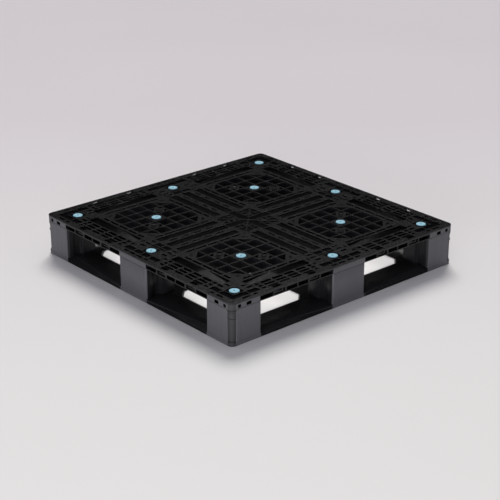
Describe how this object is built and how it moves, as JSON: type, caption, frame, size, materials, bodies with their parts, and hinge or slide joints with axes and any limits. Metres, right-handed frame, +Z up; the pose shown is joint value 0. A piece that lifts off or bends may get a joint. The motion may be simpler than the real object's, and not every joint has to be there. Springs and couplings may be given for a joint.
{
  "type": "plastic pallet",
  "caption": "Square black plastic pallet with an open-grid deck, hollow posts, fork ways from every side, a window-frame bottom deck and light-blue anti-slip grommets.",
  "frame": {"origin": "centre of the underside, on the floor", "axes": "+Z up; +X and +Y along the two equal sides; -Y is called front and -X left"},
  "size_m": [1.1, 1.1, 0.16],
  "materials": {
    "deck_plastic": "moulded black polypropylene, satin",
    "base_plastic": "moulded black polypropylene, satin",
    "post_plastic": "moulded black polypropylene, satin, fine vertical draw marks",
    "grommet_rubber": "light-blue elastomer, matte"
  },
  "bodies": {
    "root": {"upper_deck": "deck_plastic", "lower_deck": "base_plastic", "post_front_left": "post_plastic", "post_front_middle": "post_plastic", "post_front_right": "post_plastic", "post_middle_left": "post_plastic", "post_centre": "post_plastic", "post_middle_right": "post_plastic", "post_rear_left": "post_plastic", "post_rear_middle": "post_plastic", "post_rear_right": "post_plastic", "grommet_front_left": "grommet_rubber", "fork_way_grommet_front_left": "grommet_rubber", "grommet_front_middle": "grommet_rubber", "grommet_front_right": "grommet_rubber", "fork_way_grommet_front_right": "grommet_rubber", "grommet_middle_left": "grommet_rubber", "grommet_middle_right": "grommet_rubber", "grommet_rear_left": "grommet_rubber", "fork_way_grommet_rear_left": "grommet_rubber", "grommet_rear_middle": "grommet_rubber", "grommet_rear_right": "grommet_rubber", "fork_way_grommet_rear_right": "grommet_rubber"}
  },
  "joints": []
}
